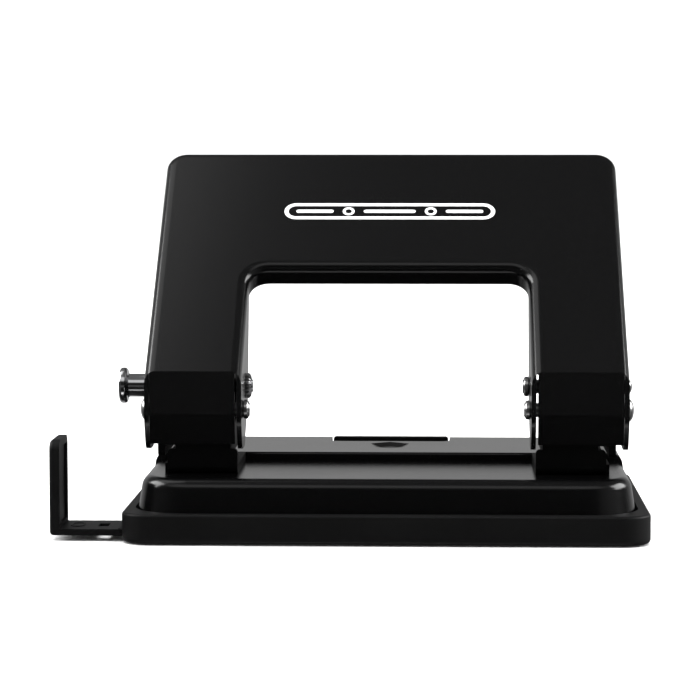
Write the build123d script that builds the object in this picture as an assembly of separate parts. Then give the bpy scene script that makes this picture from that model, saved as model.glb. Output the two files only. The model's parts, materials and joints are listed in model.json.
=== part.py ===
from build123d import *
import os
from math import atan2, cos, degrees, hypot, radians, sin

# Two-hole paper punch, millimetres. Origin at the middle of the tray's bottom face, +X along the row of
# holes, +Y towards the edge where the paper goes in, +Z up. Handle up and lock pin out is the rest pose.

# Driving dimensions
hole_spacing = 80.0
punch_radius = 2.9
punch_y = -9.57
running_gap = 0.05
free_gap = 0.35
fixed_gap = 0.02

# Chip tray, moulded
tray_length = 108.6
tray_width = 74.0
tray_height = 6.2
tray_floor = 0.9
tray_wall = 2.1
tray_corner = 6.0
ledge_z = 3.6
tab_half = 13.05
tab_near = 30.3
tab_far = 32.3
tab_top = 14.8

# Base, pressed sheet with a raised rear half
base_length = 104.0
base_width = 69.4
base_sheet = 1.3
base_corner = 11.0
base_taper = 9.0
front_z = 13.0
rear_z = 14.75
step_y = 0.5
top_round = 2.4

# Notch in the rear edge and centre mark
notch_length = 26.6
notch_depth = 12.4
mark_length = 8.5
mark_depth = 12.6
mark_y = 14.6
mark_sink = 0.7
mark_slope = 72.0

# Bracket, folded sheet
bracket_sheet = 1.5
cheek_out = 7.6
stop_y = -22.0
cheek_z = 16.8
guide_z = 18.3
foot_inner = 31.0
foot_outer = 46.5
foot_far = 0.2
neck_centre = 38.3
neck_width = 11.2
shoulder_width = 14.6
shoulder_z = 18.2
web_low = 19.0
web_high = 28.0
rivet_x = 38.1
rivet_rows = (-16.6, -2.6)
rivet_radius = 1.7
rivet_head = 2.8

# Punch train
bush_radius = 3.6
flange_radius = 4.5
flange_height = 0.6
punch_low = 17.0
punch_high = 33.6
clip_z = 27.9
clip_height = 0.55
washer_height = 0.65
washer_radius = 4.3
spring_inner = 3.3
spring_outer = 4.1

# Handle, pressed sheet
handle_half = 50.2
handle_sheet = 1.0
leg_width = 20.2
heel_y = -25.9
crease_high = 34.6
crease_low = 25.7
heel_low = 19.4
heel_lean = 0.8
panel_angle = 40.3
panel_length = 69.9
panel_corner = 4.5
window_top = 31.6
window_corner = 4.3
bend_radius = 2.2
flange_depth = 5.0
slit_inner = 0.4
slit_outer = 0.12
ear_low = 18.0

# Pins
fulcrum_y = -20.3
fulcrum_z = 26.2
actuator_y = -9.94
actuator_z = 30.18
pin_radius = 1.5
thick_radius = 2.5
stroke_angle = 32.0
pin_end = 28.6

# Lock pin
lock_head_radius = 3.85
lock_head_high = -57.0
lock_head_low = -55.2
thick_end = -48.3

# Paper guide
guide_stop = -67.2
guide_thick = 2.2
guide_high = 20.7
guide_near = -31.0
guide_far = -18.0
strip_low = 1.0
strip_high = 2.3
strip_end = 34.5

inner_leg = handle_half - leg_width
arm_y = actuator_y - fulcrum_y
arm_z = actuator_z - fulcrum_z
arm = hypot(arm_y, arm_z)
arm_angle = degrees(atan2(arm_z, arm_y))


def block(x, y, z):
    """Box between the low and high values given for each axis."""
    middle = [(low + high) / 2 for low, high in (x, y, z)]
    size = [abs(high - low) for low, high in (x, y, z)]
    return Pos(*middle) * Box(*size)


def rod_x(radius, y, z, start, end):
    return Pos((start + end) / 2, y, z) * Rot(0, 90, 0) * Cylinder(radius, abs(end - start))


def rod_z(radius, x, y, low, high):
    return Pos(x, y, (low + high) / 2) * Cylinder(radius, high - low)


def plate_x(points, x, rounded=None):
    """Plate cut to a side outline of (y, z) points, between two x values, with some corners rounded."""
    face = make_face(Plane.YZ.offset(min(x)) * Polyline(*points, close=True))
    for corner, radius in (rounded or {}).items():
        y, z = points[corner]
        nearest = min(face.vertices(), key=lambda vertex: hypot(vertex.Y - y, vertex.Z - z))
        face = fillet(nearest, radius)
    return extrude(face, abs(x[1] - x[0]), dir=(1, 0, 0))


def panel_point(along, out):
    """Point of the side outline, along the handle's panel and out from its face."""
    tilt = radians(panel_angle)
    return (
        heel_y + along * cos(tilt) - out * sin(tilt),
        crease_high + along * sin(tilt) + out * cos(tilt),
    )


def near_fulcrum(y, z):
    return (fulcrum_y + y, fulcrum_z + z)


def rounded_box(length, width, low, high, corner, taper=0.0):
    outline = Pos(0, 0, low) * RectangleRounded(length, width, corner)
    return extrude(outline, high - low, taper=taper)


def make_tray():
    body = rounded_box(tray_length, tray_width, 0, tray_height, tray_corner)
    body = fillet(body.faces().sort_by(Axis.Z)[0].edges(), 1.0)
    body = fillet(body.faces().sort_by(Axis.Z)[-1].edges(), 0.6)
    ledge = tray_wall + 1.4
    body -= rounded_box(tray_length - 2 * ledge, tray_width - 2 * ledge, tray_floor, tray_height, base_corner - 1.6)
    seat_length = tray_length - 2 * tray_wall
    body -= rounded_box(seat_length, tray_width - 2 * tray_wall, ledge_z, tray_height, base_corner)
    rail_reach = strip_end + 11
    for edge, side in ((guide_near, -1), (guide_far, 1)):
        rail = sorted((edge + side * 0.3, edge + side * 1.5))
        body += block((-tray_length / 2 + tray_wall, rail_reach), rail, (0.5, 2.9))
    for start in (-28, 14):
        bridge_y = (guide_near - 1.5, guide_far + 1.5)
        body += block((start, start + 6), bridge_y, (strip_high + 0.2, ledge_z))
    body -= block((-tray_length, -tray_length / 2 + 8), (guide_near - 0.3, guide_far + 0.3), (tray_floor, strip_high + 0.2))
    tab = block((-tab_half, tab_half), (tab_near, tab_far), (tray_floor, tab_top))
    tab = fillet(tab.edges().filter_by(Axis.Y).group_by(Axis.Z)[-1], 0.6)
    return body + tab


def pressed_form(inset, drop):
    """Solid under the base's skin: one tapered form for each half, rounded along its top edge."""
    length = base_length - 2 * inset
    width = base_width - 2 * inset
    corner = base_corner - inset
    halves = []
    for height in (front_z, rear_z):
        form = rounded_box(length, width, ledge_z, height - drop, corner, base_taper)
        top = form.faces().sort_by(Axis.Z)[-1]
        halves.append(fillet(top.edges(), top_round - inset))
    front, rear = halves
    raised = block((-90, 90), (step_y + inset, 90), (-1, rear_z - drop))
    brow = raised.edges().filter_by(Axis.X).group_by(Axis.Z)[-1].sort_by(Axis.Y)[0]
    return front + (rear & fillet(brow, 0.6))


def make_base():
    body = pressed_form(0, 0)
    body -= Pos(0, 0, -0.001) * pressed_form(base_sheet, base_sheet)
    half_width = base_width / 2
    notch = block((-notch_length / 2, notch_length / 2), (half_width - notch_depth, half_width + 5), (ledge_z + 4, 30))
    body -= fillet(notch.edges().filter_by(Axis.Z), 2.0)
    diamond = [(0, mark_depth / 2), (mark_length / 2, mark_depth / 4), (mark_length / 2, -mark_depth / 4)]
    outline = diamond + [(-x, -y) for x, y in diamond]
    mark = make_face(Pos(0, mark_y, rear_z) * Polyline(*outline, close=True))
    body -= extrude(mark, mark_sink, dir=(0, 0, -1), taper=mark_slope)
    for side in (-1, 1):
        body -= rod_z(punch_radius + 1.1, side * hole_spacing / 2, punch_y, ledge_z, 20)
        for row in rivet_rows:
            body -= rod_z(rivet_radius + fixed_gap, side * rivet_x, row, ledge_z, 20)
    return body


def arc_slot(radius_out, x):
    """Curved slot that the actuator pin travels along in a cheek."""
    plane = Plane(origin=(min(x), fulcrum_y, fulcrum_z), x_dir=(0, 1, 0), z_dir=(1, 0, 0))
    path = CenterArc((0, 0), arm, arm_angle, -stroke_angle)
    return extrude(plane * SlotArc(path, 2 * radius_out), abs(x[1] - x[0]))


def lowered(y, z):
    """Where a point beside the fulcrum ends up with the handle right down."""
    turn = radians(stroke_angle)
    return near_fulcrum(y * cos(turn) + z * sin(turn), z * cos(turn) - y * sin(turn))


def make_bracket(side):
    centre = hole_spacing / 2
    front = stop_y - bracket_sheet
    outline = [
        (front, cheek_z + 0.6),
        (front + 0.6, cheek_z),
        (-1.5, cheek_z),
        (-1.5, 27.0),
        (-5.5, 34.4),
        (-13.5, 34.4),
        (-19.0, 30.4),
        (front, 28.4),
    ]
    inner_cheek = (centre - cheek_out, centre - cheek_out + bracket_sheet)
    outer_cheek = (centre + cheek_out - bracket_sheet, centre + cheek_out)
    body = plate_x(outline, inner_cheek) + plate_x(outline, outer_cheek)
    body += block((inner_cheek[0], outer_cheek[1]), (front, stop_y), (web_low, web_high))
    body += block((inner_cheek[1], centre + 4.6), (stop_y, -3.0), (cheek_z, guide_z))
    neck = (neck_centre - neck_width / 2, neck_centre + neck_width / 2)
    body += block(neck, (front, stop_y), (shoulder_z - 2, web_low))
    shoulder = (neck_centre - shoulder_width / 2, neck_centre + shoulder_width / 2)
    lower = block(shoulder, (front, stop_y), (front_z, shoulder_z))
    lower = fillet(lower.edges().filter_by(Axis.Y).group_by(Axis.Z)[-1], 0.9)
    foot = block(shoulder, (front, stop_y + 3), (front_z, rear_z))
    foot += block((foot_inner, foot_outer), (stop_y + 2.5, foot_far), (front_z, rear_z))
    body += lower + foot
    bend = body.edges().filter_by(Axis.X).filter_by_position(Axis.Y, front - 0.01, front + 0.01)
    body = fillet(bend.sort_by(Axis.Z)[0], bracket_sheet)
    body -= rod_z(bush_radius + fixed_gap, centre, punch_y, cheek_z - 1, guide_z + 1)
    body -= rod_z(punch_radius + running_gap, centre, punch_y, front_z - 1, rear_z + 1)
    for row in rivet_rows:
        body -= rod_z(rivet_radius + fixed_gap, rivet_x, row, front_z - 1, rear_z + 1)
    body -= rod_x(pin_radius + running_gap, fulcrum_y, fulcrum_z, 20, 60)
    body -= arc_slot(pin_radius + free_gap, (20, 60))
    if side < 0:
        for y, z in ((actuator_y, actuator_z), lowered(arm_y, arm_z)):
            body -= rod_x(thick_radius + free_gap, y, z, outer_cheek[0] - 1, outer_cheek[1] + 1)
        body = mirror(body, Plane.YZ)
    return body


def make_rivets(side):
    rivets = []
    for row in rivet_rows:
        tail_z = front_z - base_sheet - fixed_gap
        rivet = rod_z(rivet_radius, side * rivet_x, row, tail_z, rear_z)
        head = rod_z(rivet_head, side * rivet_x, row, tail_z - 1, tail_z)
        rivets.append(rivet + fillet(head.faces().sort_by(Axis.Z)[0].edges(), 0.8))
    return Compound(children=rivets)


def make_bush(side):
    x = side * hole_spacing / 2
    body = rod_z(bush_radius, x, punch_y, cheek_z, guide_z)
    body += rod_z(flange_radius, x, punch_y, guide_z, guide_z + flange_height)
    return body - rod_z(punch_radius + running_gap, x, punch_y, cheek_z - 1, guide_z + 2)


def make_punch(side):
    x = side * hole_spacing / 2
    body = rod_z(punch_radius, x, punch_y, punch_low, punch_high)
    body = chamfer(body.faces().sort_by(Axis.Z)[-1].edges(), 0.6)
    body -= rod_x(3.4, punch_y, punch_low - 2.6, x - 5, x + 5)
    plane = Plane(origin=(x - 5, punch_y, actuator_z), x_dir=(0, 1, 0), z_dir=(1, 0, 0))
    body -= extrude(plane * SlotOverall(4.1, 2 * (pin_radius + 0.1)), 10)
    groove = rod_z(punch_radius + 1, x, punch_y, clip_z - 0.03, clip_z + clip_height + 0.03)
    return body - (groove - rod_z(punch_radius - 0.5, x, punch_y, clip_z - 1, clip_z + 2))


def make_punch_clip(side):
    x = side * hole_spacing / 2
    body = rod_z(washer_radius - 0.1, x, punch_y, clip_z, clip_z + clip_height)
    body -= rod_z(punch_radius - 0.5 + fixed_gap, x, punch_y, clip_z - 1, clip_z + 2)
    return body - block((x - 1.9, x + 1.9), (punch_y, punch_y + 9), (clip_z - 1, clip_z + 2))


def make_spring_washer(side):
    x = side * hole_spacing / 2
    low = clip_z - washer_height
    body = rod_z(washer_radius, x, punch_y, low, clip_z)
    return body - rod_z(punch_radius + 0.1, x, punch_y, low - 1, clip_z + 1)


def make_spring(side):
    x = side * hole_spacing / 2
    low = guide_z + flange_height
    high = clip_z - washer_height
    return rod_z(spring_outer, x, punch_y, low, high) - rod_z(spring_inner, x, punch_y, low - 1, high + 1)


def panel_outline(inset):
    """Plate of the handle's plan outline, square to the panel."""
    half = handle_half - inset
    top = panel_length - inset
    corner = panel_corner - inset
    plane = Plane(
        origin=(0, heel_y, crease_high),
        x_dir=(1, 0, 0),
        z_dir=(0, -sin(radians(panel_angle)), cos(radians(panel_angle))),
    )
    points = [(-half, -90), (half, -90), (half, top), (-half, top)]
    face = make_face(Polyline(*points, close=True))
    face = fillet(face.vertices().group_by(Axis.Y)[-1], corner)
    window_half = inner_leg + inset
    window_edge = window_top + inset
    points = [(-window_half, -100), (window_half, -100), (window_half, window_edge), (-window_half, window_edge)]
    window = make_face(Polyline(*points, close=True))
    window = fillet(window.vertices().group_by(Axis.Y)[-1], window_corner + inset)
    return extrude(plane * (face - window), 90, both=True)


def make_handle():
    outline = [
        (heel_y, crease_high),
        panel_point(panel_length, 0),
        panel_point(panel_length + 0.01, -flange_depth),
        panel_point(28, -flange_depth),
        near_fulcrum(16.2, 9.0),
        near_fulcrum(14.8, 0.6),
        near_fulcrum(4.4, ear_low - fulcrum_z),
        near_fulcrum(-2.6, ear_low - fulcrum_z),
        (heel_y, fulcrum_z - 2.0),
    ]
    rounded = {4: 9.0, 5: 4.0, 6: 3.0, 7: 3.0, 8: 5.0}
    solid = plate_x(outline, (-60, 60), rounded) & panel_outline(0)
    tilt = radians(panel_angle)
    face = solid.faces().sort_by(Axis((0, 0, 0), (0, -sin(tilt), cos(tilt))))[-1]
    bends = [e for e in face.edges() if e.center().Z > crease_high + 0.5]
    solid = fillet(bends, bend_radius)
    inner_y = heel_y + handle_sheet
    low_y, low_z = panel_point(0, -handle_sheet)
    corner_z = low_z + (inner_y - low_y) * sin(tilt) / cos(tilt)
    hollow = [
        (inner_y, corner_z),
        panel_point(90, -handle_sheet),
        panel_point(90, -90),
        (inner_y, -60),
    ]
    body = solid - (plate_x(hollow, (-60, 60)) & panel_outline(handle_sheet))
    for side in (-1, 1):
        leg = sorted((side * (inner_leg + handle_sheet), side * (handle_half - handle_sheet)))
        body -= block(leg, (heel_y - 1, inner_y), (0, crease_high - 0.5))
        body += make_heel(leg)
    return body - pin_holes()


def make_heel(leg):
    """Tongue folded down between the ears of one leg, in two flats."""
    back = heel_y + handle_sheet
    outline = [
        (heel_y, crease_high - 0.4),
        (heel_y, crease_low),
        (heel_y + heel_lean, heel_low),
        (back + heel_lean, heel_low),
        (back, crease_low),
        (back, crease_high - 0.4),
    ]
    left, right = (slit_inner, slit_outer) if leg[0] > 0 else (slit_outer, slit_inner)
    return plate_x(outline, (leg[0] + left, leg[1] - right))


def pin_holes():
    holes = rod_x(pin_radius + fixed_gap, fulcrum_y, fulcrum_z, -60, 60)
    holes += rod_x(pin_radius + fixed_gap, actuator_y, actuator_z, 20, 60)
    holes += rod_x(pin_radius + running_gap, actuator_y, actuator_z, -35, -20)
    holes += rod_x(thick_radius + running_gap, actuator_y, actuator_z, -60, -45)
    return holes


def make_pin(side, y, z, head_radius, head_height):
    """Headed pin through both ears of a leg."""
    face = side * handle_half
    body = rod_x(pin_radius, y, z, side * pin_end, face)
    head = rod_x(head_radius, y, z, face, face + side * head_height)
    rim = head.faces().sort_by(Axis.X)[-1 if side > 0 else 0].edges()
    return body + fillet(rim, head_height * 0.8)


def make_pin_clip(side, y, z, radius):
    start = side * (inner_leg - 0.05)
    end = side * (inner_leg - 1.15)
    body = rod_x(radius, y, z, start, end)
    body = chamfer(body.edges(), 0.25)
    return body - rod_x(pin_radius + fixed_gap, y, z, start + side, end - side)


def make_lock_pin():
    head = rod_x(lock_head_radius, actuator_y, actuator_z, lock_head_high, lock_head_low)
    head = fillet(head.edges(), 0.75)
    body = head + rod_x(thick_radius, actuator_y, actuator_z, lock_head_low, thick_end)
    body += rod_x(pin_radius, actuator_y, actuator_z, thick_end, -pin_end)
    return chamfer(body.faces().sort_by(Axis.X)[-1].edges(), 0.3)


def make_lock_washer():
    start = -inner_leg + 0.1
    body = rod_x(2.7, actuator_y, actuator_z, start, start + 1.0)
    teeth = 16
    for tooth in range(teeth):
        angle = radians(360 / teeth * tooth)
        y = actuator_y + 2.8 * cos(angle)
        z = actuator_z + 2.8 * sin(angle)
        body -= rod_x(0.25, y, z, start - 1, start + 2)
    return body - rod_x(pin_radius + fixed_gap, actuator_y, actuator_z, start - 1, start + 2)


def make_guide():
    strip = block((guide_stop - guide_thick / 2, strip_end), (guide_near, guide_far), (strip_low, strip_high))
    strip = fillet(strip.edges().filter_by(Axis.Z).group_by(Axis.X)[-1], 2.0)
    strip -= block((-59.8, -57.7), (-26.6, -22.6), (0, 5))
    upright = block((guide_stop - guide_thick, guide_stop), (guide_near, guide_far), (strip_low, guide_high))
    top = upright.edges().filter_by(Axis.X).group_by(Axis.Z)[-1]
    upright = fillet(top, 2.2)
    upright = fillet(upright.faces().sort_by(Axis.X)[0].edges(), 0.9)
    channel = block((guide_stop - 0.5, guide_stop + 1), (guide_near + 2.4, guide_far - 1.2), (strip_high + 0.8, guide_high - 1.6))
    upright -= fillet(channel.edges().filter_by(Axis.X), 0.8)
    return strip + upright


parts = {
    "base_plate": make_base(),
    "chip_tray": make_tray(),
    "paper_guide": make_guide(),
    "handle": make_handle(),
    "lock_pin": make_lock_pin(),
    "lock_pin_washer": make_lock_washer(),
    "actuator_pin_right": make_pin(1, actuator_y, actuator_z, 2.0, 1.6),
    "actuator_clip_right": make_pin_clip(1, actuator_y, actuator_z, 2.1),
}
for name, side in (("left", -1), ("right", 1)):
    parts[f"bracket_{name}"] = make_bracket(side)
    parts[f"bracket_rivets_{name}"] = make_rivets(side)
    parts[f"punch_bush_{name}"] = make_bush(side)
    parts[f"punch_{name}"] = make_punch(side)
    parts[f"punch_clip_{name}"] = make_punch_clip(side)
    parts[f"spring_washer_{name}"] = make_spring_washer(side)
    parts[f"return_spring_{name}"] = make_spring(side)
    parts[f"fulcrum_pin_{name}"] = make_pin(side, fulcrum_y, fulcrum_z, 2.5, 1.3)
    parts[f"fulcrum_clip_{name}"] = make_pin_clip(side, fulcrum_y, fulcrum_z, 2.0)

os.makedirs("parts", exist_ok=True)
for node, shape in parts.items():
    export_step(shape, f"parts/{node}.step")
    print(node, round(shape.volume, 1))
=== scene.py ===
import bpy
import bmesh
import json
from math import cos, pi, radians, sin, tau
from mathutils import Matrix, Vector


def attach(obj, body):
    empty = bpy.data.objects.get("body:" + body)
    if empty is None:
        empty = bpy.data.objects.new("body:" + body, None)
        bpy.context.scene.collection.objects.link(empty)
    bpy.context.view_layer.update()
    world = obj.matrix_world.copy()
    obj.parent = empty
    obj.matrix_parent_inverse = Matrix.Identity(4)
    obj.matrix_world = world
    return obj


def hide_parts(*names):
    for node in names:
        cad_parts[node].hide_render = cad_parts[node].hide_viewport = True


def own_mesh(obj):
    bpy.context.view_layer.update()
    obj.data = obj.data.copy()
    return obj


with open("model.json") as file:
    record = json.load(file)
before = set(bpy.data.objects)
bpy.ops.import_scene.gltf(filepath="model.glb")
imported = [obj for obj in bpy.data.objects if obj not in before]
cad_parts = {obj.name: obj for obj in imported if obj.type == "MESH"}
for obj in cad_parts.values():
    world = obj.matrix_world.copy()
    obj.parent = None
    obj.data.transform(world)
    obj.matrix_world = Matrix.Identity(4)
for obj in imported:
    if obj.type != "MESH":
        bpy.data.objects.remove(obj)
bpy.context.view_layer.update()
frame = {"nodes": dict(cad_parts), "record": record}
nodes = frame["nodes"]
print("frame loaded")


class Wire:
    # wraps one output socket, so that maths on it reads as maths
    def __init__(self, bench, socket):
        self.bench = bench
        self.socket = socket

    def maths(self, operation, *values):
        return self.bench.make("ShaderNodeMath", {"operation": operation}, dict(enumerate(values)))

    def __add__(self, other):
        return self.maths("ADD", self, other)

    def __radd__(self, other):
        return self.maths("ADD", other, self)

    def __sub__(self, other):
        return self.maths("SUBTRACT", self, other)

    def __rsub__(self, other):
        return self.maths("SUBTRACT", other, self)

    def __mul__(self, other):
        return self.maths("MULTIPLY", self, other)

    def __rmul__(self, other):
        return self.maths("MULTIPLY", other, self)

    def __neg__(self):
        return self.maths("MULTIPLY", self, -1)


class Bench:
    # one material's node tree, with its shader and its Object coordinates
    def __init__(self, name=None, tree=None, **constants):
        self.tree = tree
        if name:
            self.material = bpy.data.materials.new(name)
            self.material.use_nodes = True
            self.tree = self.material.node_tree
            self.shader = self.tree.nodes["Principled BSDF"]
            for socket, value in constants.items():
                self.shader.inputs[socket.replace("_", " ")].default_value = value
            self.place = self.make("ShaderNodeTexCoord", out="Object")

    def make(self, kind, settings=None, sockets=None, out=0):
        node = self.tree.nodes.new(kind)
        for name, value in (settings or {}).items():
            if name == "stops":
                self.setStops(node.color_ramp, value)
            else:
                setattr(node, name, value)
        for name, value in (sockets or {}).items():
            if isinstance(value, Wire):
                self.tree.links.new(value.socket, node.inputs[name])
            else:
                node.inputs[name].default_value = value
        if out is None:
            return [Wire(self, socket) for socket in node.outputs]
        return Wire(self, node.outputs[out])

    def setStops(self, ramp, stops):
        while len(ramp.elements) < len(stops):
            ramp.elements.new(0.5)
        for element, (position, shade) in zip(ramp.elements, stops):
            element.position = position
            element.color = (shade, shade, shade, 1)

    def noise(self, perMetre, detail=2.0, rough=0.5, at=None):
        sockets = {"Vector": at or self.place, "Scale": perMetre, "Detail": detail, "Roughness": rough}
        return self.make("ShaderNodeTexNoise", {}, sockets)

    def stretched(self, x, y, z):
        return self.make("ShaderNodeMapping", {}, {"Vector": self.place, "Scale": (x, y, z)})

    def ease(self, value, low, high):
        limits = {"Value": value, "From Min": low, "From Max": high}
        return self.make("ShaderNodeMapRange", {"interpolation_type": "SMOOTHSTEP"}, limits)

    def ramp(self, value, *stops):
        return self.make("ShaderNodeValToRGB", {"stops": stops}, {"Fac": value})

    def blendColours(self, share, first, second):
        return self.make("ShaderNodeMix", {"data_type": "RGBA"}, {0: share, 6: (*first, 1), 7: (*second, 1)}, out=2)

    def bump(self, height, distance, strength=1.0):
        return self.make("ShaderNodeBump", {}, {"Height": height, "Distance": distance, "Strength": strength})

    def feed(self, **wires):
        for socket, wire in wires.items():
            self.tree.links.new(wire.socket, self.shader.inputs[socket.replace("_", " ")])
        return self.material


def makeEnamel():
    enamel = {"peelScale": 900, "peelDepth": 0.000012, "gloss": 0.17, "dust": 5200}
    bench = Bench("blackEnamel", Specular_IOR_Level=0.5, IOR=1.5)
    peel = bench.noise(enamel["peelScale"], 2)
    cloud = bench.noise(38, 3, 0.6)
    dust = bench.ramp(bench.noise(enamel["dust"], 1), (0.68, 0.0), (0.8, 1.0))
    colour = bench.blendColours(dust * cloud * 0.3, (0.0014, 0.0014, 0.0015), (0.01, 0.01, 0.011))
    roughness = enamel["gloss"] + cloud * 0.05 + dust * 0.1
    normal = bench.bump(peel, enamel["peelDepth"], 0.5)
    return bench.feed(Base_Color=colour, Roughness=roughness, Normal=normal)


def makePlastic():
    plastic = {"grainScale": 2600, "grainDepth": 0.00003, "gloss": 0.48}
    bench = Bench("blackPlastic", Specular_IOR_Level=0.28)
    grain = bench.noise(plastic["grainScale"], 3, 0.6)
    cloud = bench.noise(45, 3, 0.6)
    colour = bench.blendColours(cloud, (0.0018, 0.0018, 0.0019), (0.0038, 0.0038, 0.0041))
    roughness = plastic["gloss"] + cloud * 0.1
    normal = bench.bump(grain, plastic["grainDepth"], 0.5)
    return bench.feed(Base_Color=colour, Roughness=roughness, Normal=normal)


def makeMetal(name, shade, gloss, streak=(2400, 300, 300), depth=0.000004):
    bench = Bench(name, Metallic=1.0)
    scratch = bench.noise(1.0, 4, 0.7, bench.stretched(*streak))
    cloud = bench.noise(160, 3, 0.6)
    darker = tuple(0.82 * value for value in shade)
    colour = bench.blendColours(cloud, darker, shade)
    roughness = gloss + scratch * 0.12 + cloud * 0.06
    normal = bench.bump(scratch, depth, 0.6)
    return bench.feed(Base_Color=colour, Roughness=roughness, Normal=normal)


def makeInk():
    ink = {"grain": 5000, "gloss": 0.45}
    bench = Bench("whiteInk", Specular_IOR_Level=0.4)
    grain = bench.noise(ink["grain"], 2)
    cloud = bench.noise(300, 3)
    colour = bench.blendColours(cloud, (0.86, 0.86, 0.86), (0.95, 0.95, 0.95))
    roughness = ink["gloss"] + cloud * 0.1
    return bench.feed(Base_Color=colour, Roughness=roughness, Normal=bench.bump(grain, 0.000004, 0.4))


def makeBracketShadePaint():
    # painted shade: a darker, less reflective copy of the black enamel for the brackets, standing in for the shade
    # they sit in under the handle's heel
    paint = {"grainScale": 3200, "grainDepth": 0.00001, "gloss": 0.5}
    bench = Bench("blackEnamelPaintedShade", Specular_IOR_Level=0.14)
    grain = bench.noise(paint["grainScale"], 3, 0.6)
    cloud = bench.noise(60, 3, 0.6)
    rub = bench.ramp(bench.noise(1500, 4, 0.7), (0.62, 0.0), (0.78, 1.0))
    colour = bench.blendColours(rub * cloud * 0.5, (0.001, 0.001, 0.0011), (0.012, 0.012, 0.012))
    roughness = paint["gloss"] + cloud * 0.12
    return bench.feed(Base_Color=colour, Roughness=roughness, Normal=bench.bump(grain, paint["grainDepth"], 0.5))


finishes = {
    "white_ink": makeInk(),
    "bracket_painted_shade": makeBracketShadePaint(),
    "black_enamel": makeEnamel(),
    "black_plastic": makePlastic(),
    "chrome": makeMetal("chrome", (0.82, 0.82, 0.84), 0.03),
    "zinc_steel": makeMetal("zincSteel", (0.66, 0.66, 0.66), 0.2),
    "spring_steel": makeMetal("springSteel", (0.4, 0.4, 0.41), 0.24, (900, 900, 900)),
    "tool_steel": makeMetal("toolSteel", (0.5, 0.5, 0.51), 0.2, (300, 300, 2600)),
}
for subpart in frame["record"]["subparts"]:
    for materialSlot in nodes[subpart["node"]].material_slots:
        bracket = subpart["node"] in ("bracket_left", "bracket_right")
        # the brackets take the copy of the enamel with painted shade
        materialSlot.material = finishes["bracket_painted_shade" if bracket else subpart["material_slot"]]
print("finishes made")


def dress(mesh, name, finish, body, *stoodFor):
    # closes a bmesh into a smooth-shaded piece that rides a body
    bmesh.ops.remove_doubles(mesh, verts=mesh.verts, dist=0.000004)
    bmesh.ops.recalc_face_normals(mesh, faces=mesh.faces)
    data = bpy.data.meshes.new(name)
    mesh.to_mesh(data)
    mesh.free()
    data.shade_smooth()
    data.set_sharp_from_angle(angle=radians(38))
    data.materials.append(finishes[finish])
    piece = bpy.data.objects.new(name, data)
    bpy.context.scene.collection.objects.link(piece)
    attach(piece, body)
    if stoodFor:
        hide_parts(*stoodFor)
    return piece


def turned(name, profile, axis, finish, body, *stoodFor):
    # a piece turned about a line along X; axis is its (y, z), profile points are (x, radius) in millimetres
    segments = 56
    y, z = axis
    mesh = bmesh.new()
    line = [mesh.verts.new((x / 1000, y, z + radius / 1000)) for x, radius in profile]
    edges = [mesh.edges.new(pair) for pair in zip(line, line[1:])]
    bmesh.ops.spin(mesh, geom=line + edges, cent=(0, y, z), axis=(1, 0, 0), angle=tau, steps=segments, use_merge=True)
    return dress(mesh, name, finish, body, *stoodFor)


def curve(x, radius, reachX, reachRadius, start, end, steps=6):
    # elliptical arc of profile points about (x, radius), angles in degrees from +X
    turns = [radians(start + (end - start) * step / steps) for step in range(steps + 1)]
    return [(x + reachX * cos(turn), radius + reachRadius * sin(turn)) for turn in turns]


# where the pins run, as (y, z)
fulcrumAxis = (-0.0203, 0.0262)
actuatorAxis = (-0.00994, 0.03018)


def addLockPin():
    # flat head, a thick part through the ear and the bracket, a thin part through the punch
    pin = {
        "headOuter": -56.98, "headInner": -55.22, "step": -48.32, "end": -28.62,
        "headRadius": 3.82, "thickRadius": 2.48, "thinRadius": 1.49, "edge": 0.7,
    }
    outer, inner, step, end = pin["headOuter"], pin["headInner"], pin["step"], pin["end"]
    head, thick, thin, edge = pin["headRadius"], pin["thickRadius"], pin["thinRadius"], pin["edge"]
    profile = [(outer + 0.23, 0), (outer + 0.18, 1.1), (outer + 0.06, 1.5)]  # shallow dish in the head
    profile += curve(outer + edge, head - edge, edge, edge, 180, 90)
    profile += curve(inner - edge, head - edge, edge, edge, 90, 0)
    profile += [(inner, thick + 0.35), (inner + 0.22, thick + 0.06), (inner + 0.52, thick)]
    profile += [(step - 0.18, thick), (step, thick - 0.18), (step, thin)]
    profile += [(end - 0.23, thin), (end, thin - 0.25), (end, 0)]
    turned("lockPin", profile, actuatorAxis, "chrome", "lock_pin", "lock_pin")


def addHeadedPin(name, side, axis, headRadius, headHeight, node):
    # domed head outside the ear, plain shank, eased and slightly domed inner end
    pin = {"face": 50.21, "end": 28.62, "shankRadius": 1.48, "edge": 0.12, "rim": 0.03, "domeSteps": 10}
    face, end, shank, edge = pin["face"], pin["end"], pin["shankRadius"], pin["edge"]
    profile = curve(face, 0, headHeight - 0.02, headRadius - 0.02, 90, 0, pin["domeSteps"])[::-1]
    profile[-1] = (face + pin["rim"], headRadius - pin["rim"])
    profile += [(face, headRadius - 0.08), (face, shank)]
    profile += [(end + edge, shank), (end, shank - edge), (end, 0.5), (end + 0.18, 0)]
    profile = [(side * x, max(radius, 0)) for x, radius in profile]
    turned(name, profile, axis, "zinc_steel", "handle", node)


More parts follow.
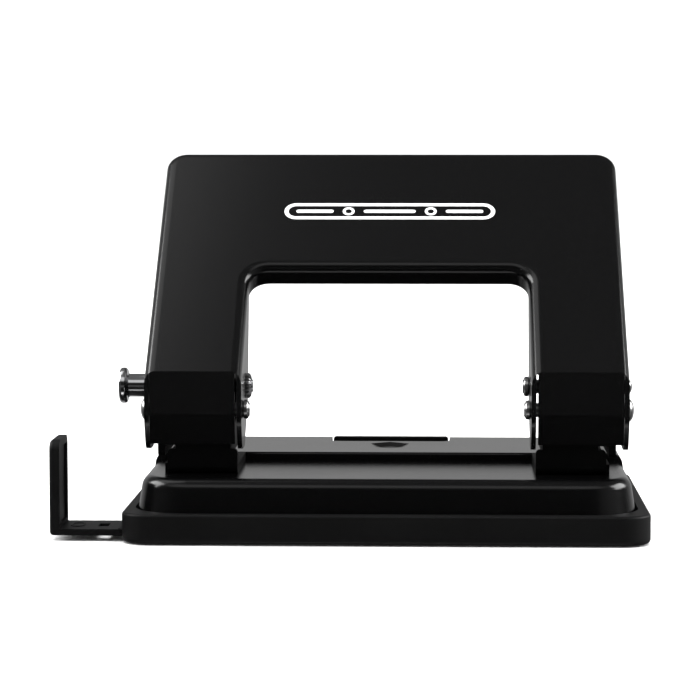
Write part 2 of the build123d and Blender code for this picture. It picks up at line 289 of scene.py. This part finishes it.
def addToothedWasher():
    # push-on cap: dished disc, its rim cut into teeth, over the thin end of the lock pin
    cap = {
        "x": -29.92, "thick": 0.95, "inner": 1.52, "rim": 2.68, "shoulder": 0.55, "slope": 0.5, "lip": 0.25,
        "dish": 0.35, "teeth": 18, "perTooth": 4, "depth": 0.32,
    }
    y, z = actuatorAxis
    back = cap["x"]
    front = back + cap["thick"]
    steps = cap["teeth"] * cap["perTooth"]
    sections = [(back, "inner", 0), (back, "rim", 0), (back + cap["shoulder"] * cap["thick"], "rim", 0)]
    sections += [(front, "rim", -cap["slope"]), (front - cap["lip"], "inner", cap["lip"])]
    sections += [(front - cap["dish"], "inner", 0)]
    mesh = bmesh.new()
    loops = []
    for across, edge, shift in sections:
        verts = []
        for step in range(steps):
            radius = cap[edge] + shift
            if edge == "rim" and step % cap["perTooth"] >= cap["perTooth"] / 2:
                radius -= cap["depth"]
            turn = tau * step / steps
            out = radius / 1000
            verts.append(mesh.verts.new((across / 1000, y + out * cos(turn), z + out * sin(turn))))
        loops.append([mesh.edges.new(pair) for pair in zip(verts, verts[1:] + verts[:1])])
    for near, far in zip(loops, loops[1:] + loops[:1]):
        bmesh.ops.bridge_loops(mesh, edges=near + far)
    dress(mesh, "lockPinWasher", "spring_steel", "lock_pin", "lock_pin_washer")


def addSpring(side, name):
    # round wire with a closed coil at each end
    spring = {
        "coilRadius": 3.7, "wireRadius": 0.39, "wireSides": 12, "low": 18.93, "high": 27.22, "coils": 4.0, "steps": 30,
    }
    wire = spring["wireRadius"] / 1000
    centre = Vector((side * 0.04, -0.00957, 0))
    mesh = bmesh.new()
    bmesh.ops.create_circle(mesh, segments=spring["wireSides"], radius=wire, cap_ends=True)
    upright = Vector((0, 0, 1)).rotation_difference(Vector((0, 1, 0))).to_matrix()
    bmesh.ops.rotate(mesh, verts=mesh.verts, cent=(0, 0, 0), matrix=upright)
    start = centre + Vector((spring["coilRadius"] / 1000, 0, spring["low"] / 1000 + wire))
    bmesh.ops.translate(mesh, verts=mesh.verts, vec=start)
    height = (spring["high"] - spring["low"]) / 1000 - 2 * wire
    closed = 2 * wire
    geometry = list(mesh.faces)
    for coils, climb in ((1, closed), (spring["coils"], height - 2 * closed), (1, closed)):
        steps = int(coils * spring["steps"])
        rise = (0, 0, climb / steps)
        path = {"cent": centre, "axis": (0, 0, 1), "angle": tau * coils, "steps": steps, "dvec": rise}
        made = bmesh.ops.spin(mesh, geom=geometry, **path)
        geometry = [item for item in made["geom_last"] if isinstance(item, bmesh.types.BMFace)]
    piece = dress(mesh, name, "spring_steel", "base", "return_spring_" + ("left" if side < 0 else "right"))
    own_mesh(piece)


addLockPin()
addHeadedPin("fulcrumPinLeft", -1, fulcrumAxis, 2.5, 1.3, "fulcrum_pin_left")
addHeadedPin("fulcrumPinRight", 1, fulcrumAxis, 2.5, 1.3, "fulcrum_pin_right")
addHeadedPin("actuatorPinRight", 1, actuatorAxis, 2.0, 1.6, "actuator_pin_right")
addToothedWasher()
addSpring(-1, "springLeft")
addSpring(1, "springRight")
print("pins and springs made")


def pill(mesh, half, radius, lift, place, steps=14):
    # closed loop of a long rounded shape; place maps (across, up, lift) to a point
    points = []
    for side in (1, -1):
        for step in range(steps + 1):
            turn = pi * step / steps - pi / 2
            points.append(place(side * (half + radius * cos(turn)), side * radius * sin(turn), lift))
    verts = [mesh.verts.new(point) for point in points]
    return [mesh.edges.new(pair) for pair in zip(verts, verts[1:] + verts[:1])]


def outlineMark(mesh, half, radius, stroke, height, place):
    # raised band between two nested pills
    outer = pill(mesh, half, radius, 0, place)
    inner = pill(mesh, half, radius - stroke, 0, place)
    made = bmesh.ops.bridge_loops(mesh, edges=outer + inner)
    raised = bmesh.ops.extrude_face_region(mesh, geom=made["faces"])
    verts = [item for item in raised["geom"] if isinstance(item, bmesh.types.BMVert)]
    bmesh.ops.translate(mesh, verts=verts, vec=place(0, 0, height) - place(0, 0, 0))


def addHandleMark():
    # plain white emblem: two rings and three bars inside a long outline
    mark = {
        "tilt": 40.3, "foot": (0, -0.0259, 0.0346), "along": 0.0495, "height": 0.00003,
        "half": 0.0205, "radius": 0.0026, "stroke": 0.0009,
        "ringSpacing": 0.018, "ringRadius": 0.0013, "ringStroke": 0.0006,
        "barSpacing": 0.0328, "barHalf": 0.0036, "middleHalf": 0.0052, "barRadius": 0.0005, "barStroke": 0.00045,
    }
    tilt = radians(mark["tilt"])
    up = Vector((0, cos(tilt), sin(tilt)))
    out = Vector((0, -sin(tilt), cos(tilt)))
    centre = Vector(mark["foot"]) + mark["along"] * up

    def onPanel(across, along, lift, shift=0.0):
        return centre + Vector((across + shift, 0, 0)) + along * up + lift * out

    mesh = bmesh.new()
    ring = (0, mark["ringRadius"], mark["ringStroke"], mark["height"])
    bar = (mark["barHalf"], mark["barRadius"], mark["barStroke"], mark["height"])
    outlineMark(mesh, mark["half"], mark["radius"], mark["stroke"], mark["height"], onPanel)
    for side in (-1, 1):
        shift = side * mark["ringSpacing"] / 2
        outlineMark(mesh, *ring, lambda a, b, c: onPanel(a, b, c, shift))
    outlineMark(mesh, mark["middleHalf"], *bar[1:], onPanel)
    for side in (-1, 1):
        shift = side * mark["barSpacing"] / 2
        outlineMark(mesh, *bar, lambda a, b, c: onPanel(a, b, c, shift))
    dress(mesh, "handleMark", "white_ink", "handle")


def addGuideMarks():
    # raised oval and stop line on the guide's strip
    mark = {
        "y": -0.0245, "top": 0.0023, "height": 0.00012,
        "ovalAt": -0.0642, "ovalHalf": 0.0012, "ovalRadius": 0.0014, "ovalStroke": 0.00035,
        "lineAt": -0.055, "lineHalf": 0.0058, "lineRadius": 0.00022, "lineStroke": 0.0002,
    }
    middle = Vector((0, mark["y"], mark["top"]))
    mesh = bmesh.new()
    for kind in ("oval", "line"):
        sizes = [mark[kind + part] for part in ("Half", "Radius", "Stroke")]
        shift = mark[kind + "At"]
        outlineMark(mesh, *sizes, mark["height"], lambda a, b, c: middle + Vector((shift + b, a, c)))
    dress(mesh, "guideMarks", "black_plastic", "guide")


addHandleMark()
addGuideMarks()
print("marks made")


def addCamera():
    view = {"focal": 139.74, "place": (0.0108, -0.5845, 0.0835), "look": (-0.0326, 0.9963, -0.0792)}
    camera = bpy.data.cameras.new("camera")
    camera.lens = view["focal"]
    camera.sensor_width = 36
    camera.clip_start = 0.01
    holder = bpy.data.objects.new("camera", camera)
    bpy.context.scene.collection.objects.link(holder)
    holder.location = view["place"]
    holder.rotation_euler = Vector(view["look"]).to_track_quat("-Z", "Y").to_euler()
    bpy.context.scene.camera = holder


def addLamp(name, place, aim, size, watts, shows=True):
    # shows: whether glossy pieces mirror it
    lamp = bpy.data.lights.new(name, "AREA")
    lamp.shape = "RECTANGLE"
    lamp.size, lamp.size_y = size
    lamp.energy = watts
    holder = bpy.data.objects.new(name, lamp)
    bpy.context.scene.collection.objects.link(holder)
    holder.location = place
    holder.rotation_euler = (Vector(aim) - Vector(place)).to_track_quat("-Z", "Y").to_euler()
    holder.visible_glossy = shows


def addRoom():
    # what glossy parts mirror: dim in front, brighter low down behind, a soft glow above on the left
    room = {
        "dark": 0.012, "near": 0.07, "behind": 0.46, "above": 0.11, "left": 0.25, "high": 0.6, "low": 1.2, "side": 0.2,
    }
    world = bpy.data.worlds.new("room")
    bpy.context.scene.world = world
    world.use_nodes = True
    bench = Bench(tree=world.node_tree)
    direction = bench.make("ShaderNodeTexCoord")
    x, y, z = bench.make("ShaderNodeSeparateXYZ", {}, {0: direction}, out=None)
    behind = bench.ease(y, 0.2, 0.9) * (1 - bench.ease(z, 0.2, 0.55))
    above = bench.ease(z, 0.35, 0.9)
    left = bench.ease(-x, -0.1, 0.8)
    near = bench.ease(-y, 0.7, 0.95) * bench.ease(z, -0.2, -0.08) * (1 - bench.ease(z, 0.02, 0.12))
    high = bench.ease(-y, 0.3, 0.6) * bench.ease(z, 0.45, 0.6) * (1 - bench.ease(z, 0.8, 0.9))
    low = bench.ease(-y, 0.3, 0.5) * bench.ease(-z, 0.6, 0.72) * (1 - bench.ease(-z, 0.88, 0.95))
    side = bench.ease(x, 0.3, 0.95) + 0.3 * bench.ease(-x, 0.3, 0.95)
    side = side * bench.ease(-y, -0.1, 0.5) * (1 - bench.ease(z, 0.3, 0.7))
    glow = room["dark"] + side * room["side"] + near * room["near"]
    glow = glow + high * room["high"] + low * room["low"] + behind * room["behind"]
    glow = glow + above * (room["above"] + left * room["left"])
    background = world.node_tree.nodes["Background"]
    background.inputs["Color"].default_value = (1, 1, 1, 1)
    bench.tree.links.new(glow.socket, background.inputs["Strength"])


def addBackdrop():
    # a wide bowl: flat floor, curved foot, upright wall all round
    bowl = {"gap": 0.0002, "floor": 2.4, "bend": 0.8, "wall": 2.6, "steps": 10, "around": 72}
    mesh = bmesh.new()
    low = -bowl["gap"]
    line = [mesh.verts.new((0, 0, low)), mesh.verts.new((bowl["floor"], 0, low))]
    for step in range(1, bowl["steps"] + 1):
        turn = pi / 2 * step / bowl["steps"]
        out = bowl["floor"] + bowl["bend"] * sin(turn)
        line.append(mesh.verts.new((out, 0, low + bowl["bend"] * (1 - cos(turn)))))
    line.append(mesh.verts.new((bowl["floor"] + bowl["bend"], 0, bowl["wall"])))
    edges = [mesh.edges.new(pair) for pair in zip(line, line[1:])]
    bmesh.ops.spin(mesh, geom=line + edges, axis=(0, 0, 1), angle=tau, steps=bowl["around"], use_merge=True)
    bmesh.ops.remove_doubles(mesh, verts=mesh.verts, dist=0.0001)
    bmesh.ops.recalc_face_normals(mesh, faces=mesh.faces)
    data = bpy.data.meshes.new("backdrop")
    mesh.to_mesh(data)
    mesh.free()
    data.shade_smooth()
    piece = bpy.data.objects.new("backdrop", data)
    bpy.context.scene.collection.objects.link(piece)
    bench = Bench("palePaper", Roughness=0.9, Specular_IOR_Level=0.1)
    shade = bench.blendColours(bench.noise(6, 2), (0.9, 0.9, 0.9), (0.93, 0.93, 0.93))
    data.materials.append(bench.feed(Base_Color=shade))
    piece.visible_glossy = False


addCamera()
addRoom()
addBackdrop()
lamps = {
    "overhead": {"place": (0, 0.2, 2.2), "aim": (0, 0.2, 0), "size": (3.0, 3.0), "watts": 110, "shows": False},
    "leftBox": {"place": (-0.95, 0.15, 0.55), "aim": (0, 0, 0.05), "size": (0.7, 0.6), "watts": 8.5},
    "rightBox": {"place": (0.95, 0.15, 0.45), "aim": (0, 0, 0.05), "size": (0.7, 0.5), "watts": 8},
    "topLeft": {"place": (-0.42, 0.1, 0.8), "aim": (-0.1, 0, 0.06), "size": (0.45, 0.6), "watts": 0.65},
}
for name, lamp in lamps.items():
    addLamp(name, **lamp)
bpy.context.scene.view_settings.view_transform = "Standard"
print("studio set")
